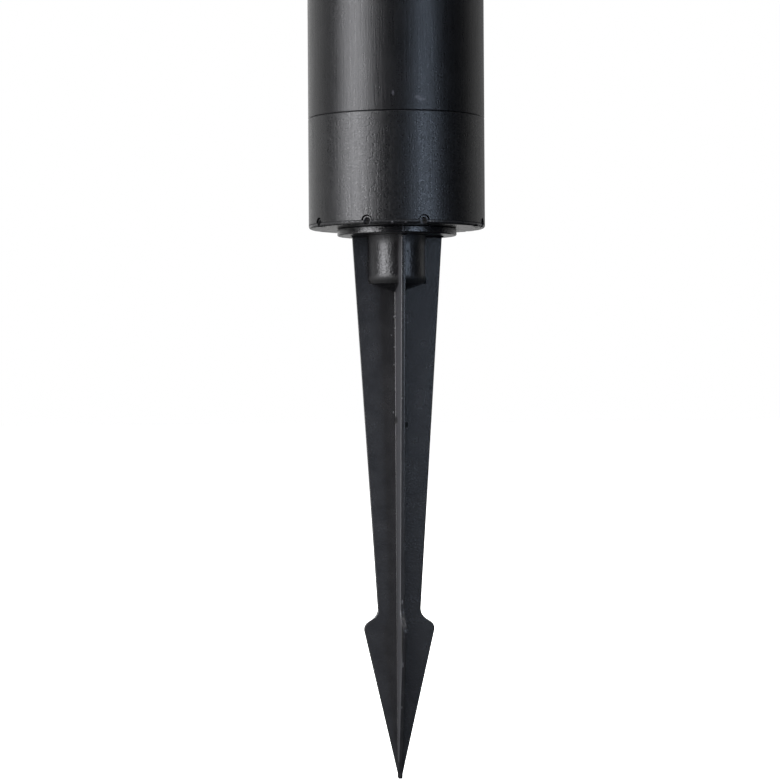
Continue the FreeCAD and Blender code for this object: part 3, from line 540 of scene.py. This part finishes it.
def lacquerBoard(name, look, coat):
    finish, tree, shader = newFinish(name, {"Specular IOR Level": coat["shine"]})
    spotty = tint(tree, noiseAt(tree, coat["mottle"], detail=4), look["mask"], look["maskDark"])
    tracks = stripes(tree, axisOf(tree, "X"), look["pitch"], look["width"])
    colour = paintOver(tree, tracks, spotty, look["track"])
    gloss = spread(tree, noiseAt(tree, coat["glossSize"]), *coat["rough"])
    wireUp(tree, shader, colour, gloss, [(tracks, coat["trackDepth"])])
    return finish


for name, look in boardLook.items():
    dress(lacquerBoard(name, look, lacquer), *look["nodes"])
print("cells and boards dressed")

# battery sleeve, white carrier, chip frames and lead insulation
plasticShine = 0.5
plasticLook = {
    "batterySleeve": {"dark": (0.020, 0.085, 0.052), "light": (0.035, 0.130, 0.080),
                      "size": (0.02, 0.001, 0.001), "rough": (0.24, 0.40), "depth": 0.00002,
                      "nodes": ["battery_cell"]},
    "whiteCarrier": {"dark": (0.66, 0.66, 0.64), "light": (0.80, 0.80, 0.78), "size": 0.0007,
                     "rough": (0.38, 0.56), "depth": 0.00004, "nodes": ["led_carrier"]},
    "chipFrame": {"dark": (0.72, 0.70, 0.62), "light": (0.85, 0.83, 0.76), "size": 0.0004,
                  "rough": (0.35, 0.55), "depth": 0.00001, "nodes": ["led_chips"]},
    "redLead": {"dark": (0.33, 0.012, 0.010), "light": (0.52, 0.022, 0.016), "size": (0.0005, 0.0005, 0.004),
                "rough": (0.30, 0.48), "depth": 0.00002,
                "nodes": ["panel_lead_red", "battery_lead_red", "led_lead_red"]},
    "blackLead": {"dark": (0.008, 0.008, 0.008), "light": (0.020, 0.020, 0.021),
                  "size": (0.0005, 0.0005, 0.004), "rough": (0.30, 0.48), "depth": 0.00002,
                  "nodes": ["panel_lead_black", "battery_lead_black", "led_lead_black"]},
}
for name, look in plasticLook.items():
    dress(mottledFinish(name, look, {"Specular IOR Level": plasticShine}), *look["nodes"])
print("plastics dressed")


# added pieces
def looseObject(name, shape):
    mesh = bpy.data.meshes.new(name)
    bmesh.ops.recalc_face_normals(shape, faces=shape.faces)
    shape.to_mesh(mesh)
    shape.free()
    item = bpy.data.objects.new(name, mesh)
    scene.collection.objects.link(item)
    return item


def newPiece(name, shape, finish, body):
    piece = looseObject(name, shape)
    piece.data.materials.append(finish)
    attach(piece, body)
    return piece


def bridge(shape, near, far, smooth=True):
    # a band of faces between two rings; a ring that is one point gives triangles
    for i in range(len(near)):
        j = (i + 1) % len(near)
        corners = list(dict.fromkeys((near[i], near[j], far[j], far[i])))
        if len(corners) > 2:
            shape.faces.new(corners).smooth = smooth


def lathe(shape, profile, steps, centre=Vector((0, 0, 0)), closed=False):
    # profile is (radius, height) pairs; a radius of 0 closes the end to a point
    turns = [2 * math.pi * i / steps for i in range(steps)]
    rings = []
    for radius, height in profile:
        if radius == 0:
            rings.append([shape.verts.new(centre + Vector((0, 0, height)))] * steps)
            continue
        rings.append([shape.verts.new(centre + Vector((radius * math.cos(t), radius * math.sin(t), height)))
                      for t in turns])
    if closed:
        rings.append(rings[0])
    for low, high in zip(rings, rings[1:]):
        bridge(shape, low, high)


# phosphor windows under the light-emitting chips
windowLook = {
    "count": 8,
    "chipLength": 0.0035,
    "length": 0.0029,
    "width": 0.0022,
    "dome": 0.00016,
    "squareness": 4,      # 2 gives an oval, more a squarer window
    "rings": 5,
    "steps": 28,
}
phosphorLook = {"dark": (0.78, 0.56, 0.06), "light": (0.90, 0.72, 0.14), "size": 0.0002, "rough": (0.25, 0.5),
                "depth": 0.00001}


def chipWindows(look, finish):
    low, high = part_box("led_chips")
    circle = high.x - look["chipLength"] / 2
    steps, power = look["steps"], look["squareness"]
    shape = bmesh.new()
    for chip in range(look["count"]):
        turn = Matrix.Rotation(2 * math.pi * chip / look["count"], 4, "Z")
        tip = shape.verts.new(turn @ Vector((circle, 0, low.z - look["dome"])))
        layers = [[tip] * steps]
        for ring in range(1, look["rings"] + 1):
            share = ring / look["rings"]
            drop = look["dome"] * math.sqrt(1 - share ** 2)
            layer = []
            for step in range(steps):
                angle = 2 * math.pi * step / steps
                c, s = math.cos(angle), math.sin(angle)
                squared = (c ** power + s ** power) ** (-1 / power)
                x = circle + share * squared * c * look["length"] / 2
                y = share * squared * s * look["width"] / 2
                layer.append(shape.verts.new(turn @ Vector((x, y, low.z - drop))))
            layers.append(layer)
        for inner, outer in zip(layers, layers[1:]):
            bridge(shape, inner, outer)
        shape.faces.new(layers[-1])
    newPiece("chipWindows", shape, finish, "head")


phosphor = mottledFinish("phosphor", phosphorLook, {"Specular IOR Level": plasticShine}, detail=3)
chipWindows(windowLook, phosphor)
print("chip windows added")

# sealant bead between the panel's cover and the rim of the head
beadLook = {
    "gap": 0.00019,          # from the cover's edge to the bead's outer wall
    "width": 0.0007,
    "rise": 0.00045,
    "dip": 0.00002,          # the thin inner edge goes this far into the cover
    "skirt": 0.0003,
    "skirtWidth": 0.00018,
    "filletSteps": 5,
    "steps": 128,
}


def sealBead(look):
    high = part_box("panel_cover")[1]
    outer, top = high.x + look["gap"], high.z
    profile = [(outer - look["width"], top - look["dip"])]
    for i in range(1, look["filletSteps"] + 1):
        sweep = math.radians(90 * i / look["filletSteps"])   # hollow fillet up to the rim
        radius = outer - look["width"] * (1 - math.sin(sweep))
        profile.append((radius, top + look["rise"] * (1 - math.cos(sweep))))
    profile += [(outer, top - look["skirt"]), (outer - look["skirtWidth"], top - look["skirt"])]
    shape = bmesh.new()
    lathe(shape, profile, look["steps"], closed=True)
    newPiece("sealBead", shape, rubber, "head")


sealBead(beadLook)
print("seal bead added")

# carrier screws with a cross recess and a rolled thread
screwLook = {
    "headRadius": 0.0024,
    "headHeight": 0.0016,
    "crown": 0.45,           # share of the head's height that is rounded
    "flat": 0.55,            # share of the head's radius that is flat
    "crownSteps": 6,
    "shankRadius": 0.0012,
    "tipShare": 0.7,         # the shank's end against its radius
    "threadDepth": 0.00022,
    "threadPitch": 0.0008,
    "threadShape": (0.25, 0.65, 0.95),   # foot, crest and foot of a turn, in shares of the pitch
    "recessLength": 0.0026,
    "recessWidth": 0.00062,
    "recessDepth": 0.0010,
    "recessTaper": 0.45,     # length of the recess at its floor against its mouth
    "cutterOver": 0.0003,
    "steps": 40,
}


def screwBlank(look, centre, low, high):
    # head down: a crowned pan head, then the shank with its thread rings
    seat = low + look["headHeight"]
    crown = look["headHeight"] * look["crown"]
    profile = [(0, low)]
    for i in range(look["crownSteps"] + 1):
        sweep = math.radians(90 * i / look["crownSteps"])
        radius = look["headRadius"] * (look["flat"] + (1 - look["flat"]) * math.sin(sweep))
        profile.append((radius, low + crown * (1 - math.cos(sweep))))
    outer, pitch = look["shankRadius"], look["threadPitch"]
    root, tip = outer - look["threadDepth"], high - outer
    profile += [(look["headRadius"], seat), (outer, seat)]
    for turn in range(int((tip - seat) / pitch)):
        start, crest, end = [seat + pitch * (turn + share) for share in look["threadShape"]]
        profile += [(root, start), (outer, crest), (root, end)]
    profile += [(outer * look["tipShare"], tip), (0, high)]
    shape = bmesh.new()
    lathe(shape, profile, look["steps"], centre)
    return shape


def crossCutter(look, centre, low):
    # two crossed bars whose ends slope inward
    shape = bmesh.new()
    wide = look["recessWidth"]
    for alongX in (True, False):
        for vert in bmesh.ops.create_cube(shape, size=1)["verts"]:
            deep = vert.co.z > 0
            long = look["recessLength"] * (look["recessTaper"] if deep else 1)
            height = low + look["recessDepth"] if deep else low - look["cutterOver"]
            x, y = (long, wide) if alongX else (wide, long)
            vert.co = centre + Vector((vert.co.x * x, vert.co.y * y, height))
    return shape


def carrierScrews(look):
    low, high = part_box("carrier_screws")
    reach = high.x - look["headRadius"]
    gathered = bmesh.new()
    for x, y in ((1, 1), (-1, 1), (-1, -1), (1, -1)):
        centre = Vector((reach * x, reach * y, 0))
        blank = looseObject("screwBlank", screwBlank(look, centre, low.z, high.z))
        cutter = looseObject("crossCutter", crossCutter(look, centre, low.z))
        cut = blank.modifiers.new("recess", "BOOLEAN")
        cut.operation, cut.solver, cut.object = "DIFFERENCE", "EXACT", cutter
        cut.use_self = True
        bpy.context.view_layer.update()
        done = blank.evaluated_get(bpy.context.evaluated_depsgraph_get()).to_mesh()
        gathered.from_mesh(done)
        for item in (blank, cutter):
            bpy.data.objects.remove(item)
    piece = newPiece("carrierScrews", gathered, metals["zincSteel"], "head")
    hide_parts("carrier_screws")


carrierScrews(screwLook)
print("carrier screws added")

# tinned ribbons across the cells, swollen with solder over each row and just clear of the cover
ribbonLook = {"width": 0.0012, "clear": 0.00003, "dip": 0.00005, "edge": 0.00004, "rows": 6, "stations": 72}


def solderedRibbons(look):
    low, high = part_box("cell_ribbons")
    half, edge = look["width"] / 2, look["edge"]
    shape = bmesh.new()
    for side in (-1, 1):
        middle = side * (high.x - half)
        rings = []
        for station in range(look["stations"] + 1):
            share = station / look["stations"]
            swell = math.sin(math.pi * look["rows"] * share) ** 2
            top = high.z - look["clear"] - look["dip"] * (1 - swell)
            outline = [(-half, low.z), (half, low.z), (half, top - edge),
                       (half - edge, top), (edge - half, top), (-half, top - edge)]
            y = low.y + (high.y - low.y) * share
            rings.append([shape.verts.new((middle + x, y, z)) for x, z in outline])
        for near, far in zip(rings, rings[1:]):
            bridge(shape, near, far, smooth=False)
        shape.faces.new(rings[0])
        shape.faces.new(rings[-1])
    piece = newPiece("solderedRibbons", shape, metals["tinnedCopper"], "head")
    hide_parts("cell_ribbons")


solderedRibbons(ribbonLook)
print("ribbons added")

# camera, as the photograph was taken: level, just below the base, a little to the left of the front fin
cameraLook = {
    "azimuth": -8.4,      # degrees right of the front fin
    "distance": 0.85,
    "height": -0.05242,
    "aside": -0.00268,    # metres along the picture's right
    "roll": -0.35,        # degrees
    "lens": 115.15,
    "sensor": 36,
    "clip": (0.01, 60),
}


def placeCamera(look):
    turn = math.radians(look["azimuth"])
    back = Vector((math.sin(turn), -math.cos(turn), 0))
    right = Vector((math.cos(turn), math.sin(turn), 0))
    camera = bpy.data.objects.new("photoCamera", bpy.data.cameras.new("photoCamera"))
    camera.data.lens = look["lens"]
    camera.data.sensor_width = look["sensor"]
    camera.data.clip_start, camera.data.clip_end = look["clip"]
    spot = back * look["distance"] + right * look["aside"] + Vector((0, 0, look["height"]))
    aim = (-back).to_track_quat("-Z", "Y").to_matrix().to_4x4()
    camera.matrix_world = Matrix.Translation(spot) @ aim @ Matrix.Rotation(math.radians(look["roll"]), 4, "Z")
    scene.collection.objects.link(camera)
    scene.camera = camera


placeCamera(cameraLook)
print("camera placed")

# studio: white floor and sky, dark cards on the camera's side and under the floor, two tall soft boxes
white = (1, 1, 1, 1)
studioLook = {
    "floorHeight": cadBox[0].z - 0.0002,   # just under the spike's tip
    "floorHalf": 9.0,
    "floorTone": (0.9, 0.9, 0.9, 1),
    "floorRough": 0.9,
    "floorShine": 0.1,
    "floorGlow": 1.0,
    "skyStrength": 1.0,
    "cardTone": (0.004, 0.004, 0.004, 1),
    "cardRadius": 1.25,
    "cardHeight": 3.2,
    "cardSteps": 24,
    "trayBack": 0.75,     # the dark tray under the floor reaches less far behind the light
    "trayDrop": 0.004,
    "traySteps": 16,
}
studioCards = {
    # degrees round from the camera, and how brightly each card glows
    "darkCard": {"from": -103.0, "to": 108.5, "glow": 0.0},
    "leftCard": {"from": -146.0, "to": -103.0, "glow": 0.75},
    "leftEdgeCard": {"from": -176.0, "to": -146.0, "glow": 1.0},
    "rightCard": {"from": 108.5, "to": 174.0, "glow": 0.37},
}
# seen in the rim's round
lowCard = {"from": -110.0, "to": -40.0, "inner": 0.10, "outer": 0.80, "glow": 1.2, "steps": 16}
# dark strips that show only through the lens
lensFlags = {"count": 9, "width": 9.0, "radius": 0.5, "glow": 0.04}
softBoxes = {
    "softBoxLeft": {"angle": -54.4, "distance": 0.9, "level": 0.33, "aim": 0.33, "width": 0.55, "height": 0.9,
                    "watts": 12.6, "colour": (0.965, 0.965, 1.0)},
    "softBoxRight": {"angle": 36.0, "distance": 0.95, "level": 0.06, "aim": 0.06, "width": 0.26,
                     "height": 0.5, "watts": 2.35, "colour": (0.66, 0.79, 1.0)},
}
fillPanels = {
    # no gloss from these, only an even white light on matt surfaces
    "fillFront": {"angle": -25.0, "distance": 0.75, "level": 1.4, "aim": 0.0, "width": 1.4, "height": 1.4,
                  "watts": 72.0},
    "fillLow": {"angle": 0.0, "distance": 1.2, "level": 0.1, "aim": 0.0, "width": 0.8, "height": 0.8,
                "watts": 3.5},
    "fillBackLeft": {"angle": -120.0, "distance": 1.6, "level": 0.4, "aim": 0.0, "width": 1.4, "height": 1.4,
                     "watts": 20.0},
    "fillBackRight": {"angle": 120.0, "distance": 1.6, "level": 0.4, "aim": 0.0, "width": 1.4, "height": 1.4,
                      "watts": 20.0},
}


def stageMesh(name, points, faces, finish):
    mesh = bpy.data.meshes.new(name)
    mesh.from_pydata(points, [], faces)
    mesh.materials.append(finish)
    finish.cycles.emission_sampling = "NONE"   # leaves the lamps' share of the rays to the lamps
    item = bpy.data.objects.new(name, mesh)
    scene.collection.objects.link(item)
    return item


def paleSky(look):
    sky = bpy.data.worlds.new("paleSky")
    scene.world = sky
    sky.use_nodes = True
    sky.cycles_visibility.diffuse = False   # the panels light the matt surfaces instead
    light = sky.node_tree.nodes["Background"]
    light.inputs["Color"].default_value = white
    light.inputs["Strength"].default_value = look["skyStrength"]


def paleFloor(look):
    finish, tree, shader = newFinish("paleFloor", {
        "Base Color": look["floorTone"], "Roughness": look["floorRough"],
        "Specular IOR Level": look["floorShine"],
        "Emission Color": white, "Emission Strength": look["floorGlow"]})
    # clear from below, so that the underside shows too
    clear = tree.nodes.new("ShaderNodeBsdfTransparent")
    sides = tree.nodes.new("ShaderNodeMixShader")
    feed(tree, tree.nodes.new("ShaderNodeNewGeometry").outputs["Backfacing"], sides.inputs[0])
    feed(tree, shader.outputs[0], sides.inputs[1])
    feed(tree, clear.outputs[0], sides.inputs[2])
    feed(tree, sides.outputs[0], tree.nodes["Material Output"].inputs["Surface"])
    half, low = look["floorHalf"], look["floorHeight"]
    corners = [(-half, -half, low), (half, -half, low), (half, half, low), (-half, half, low)]
    floor = stageMesh("floor", corners, [(0, 1, 2, 3)], finish)
    floor.visible_glossy = False
    floor.visible_diffuse = False


def hangCard(look, name, points, faces, glow):
    # shows only in gloss
    finish = newFinish(name, {"Base Color": look["cardTone"], "Roughness": 1.0, "Specular IOR Level": 0.0,
                              "Emission Color": white, "Emission Strength": glow})[0]
    card = stageMesh(name, points, faces, finish)
    card.visible_camera = False
    card.visible_diffuse = False
    card.visible_transmission = False
    card.visible_shadow = False
    return card


def arcPoints(start, end, radius, height, steps):
    angles = [math.radians(start + (end - start) * i / steps) for i in range(steps + 1)]
    return [(math.sin(a) * radius, -math.cos(a) * radius, height) for a in angles]


def arcBand(start, end, first, second, steps):
    # a band between two arcs, each a radius and a height
    points = arcPoints(start, end, *first, steps) + arcPoints(start, end, *second, steps)
    return points, [(i, i + 1, steps + 2 + i, steps + 1 + i) for i in range(steps)]


def standCards(look, cards, turn):
    radius, low = look["cardRadius"], look["floorHeight"]
    foot, head = (radius, low), (radius, low + look["cardHeight"])
    for name, card in cards.items():
        band = arcBand(card["from"] + turn, card["to"] + turn, foot, head, look["cardSteps"])
        hangCard(look, name, *band, card["glow"])


def layTray(look, card, turn):
    # dark from below, wide on the camera's side and short behind
    level = look["floorHeight"] - look["trayDrop"]
    start, end = card["from"] + turn, card["to"] + turn
    rim = arcPoints(start, end, look["cardRadius"], level, look["cardSteps"])
    rim += arcPoints(end, start + 360, look["trayBack"], level, look["traySteps"])
    hangCard(look, "darkTray", rim, [tuple(range(len(rim)))], card["glow"])


def layLowCard(look, card, turn):
    level = look["floorHeight"] - look["trayDrop"] / 2
    band = arcBand(card["from"] + turn, card["to"] + turn, (card["inner"], level), (card["outer"], level),
                   card["steps"])
    hangCard(look, "lowCard", *band, card["glow"])


def standFlags(look, flags, turn):
    # clear plastic gets its edges from these
    radius, low = flags["radius"], look["floorHeight"]
    foot, head = (radius, low), (radius, low + look["cardHeight"])
    points, faces = [], []
    for flag in range(flags["count"]):
        start = turn + 360 * (flag + 0.5) / flags["count"] - flags["width"] / 2
        corners, strip = arcBand(start, start + flags["width"], foot, head, 1)
        faces.append([len(points) + i for i in strip[0]])
        points += corners
    strips = hangCard(look, "lensFlags", points, faces, flags["glow"])
    strips.visible_glossy = False
    strips.visible_transmission = True


def hangLights(boxes, turn, glossy):
    for name, look in boxes.items():
        bearing = math.radians(look["angle"] + turn)
        lamp = bpy.data.lights.new(name, "AREA")
        lamp.shape = "RECTANGLE"
        lamp.size, lamp.size_y = look["width"], look["height"]
        lamp.energy = look["watts"]
        lamp.color = look.get("colour", white[:3])
        item = bpy.data.objects.new(name, lamp)
        away = Vector((math.sin(bearing), -math.cos(bearing), 0)) * look["distance"]
        spot = away + Vector((0, 0, look["level"]))
        aim = (Vector((0, 0, look["aim"])) - spot).to_track_quat("-Z", "Y").to_matrix().to_4x4()
        item.matrix_world = Matrix.Translation(spot) @ aim
        item.visible_camera = False
        item.visible_glossy = glossy
        item.visible_transmission = False
        scene.collection.objects.link(item)


facing = cameraLook["azimuth"]   # the studio stands square to the camera
paleSky(studioLook)
paleFloor(studioLook)
standCards(studioLook, studioCards, facing)
layTray(studioLook, studioCards["darkCard"], facing)
layLowCard(studioLook, lowCard, facing)
standFlags(studioLook, lensFlags, facing)
hangLights(softBoxes, facing, True)
hangLights(fillPanels, facing, False)
print("studio built")
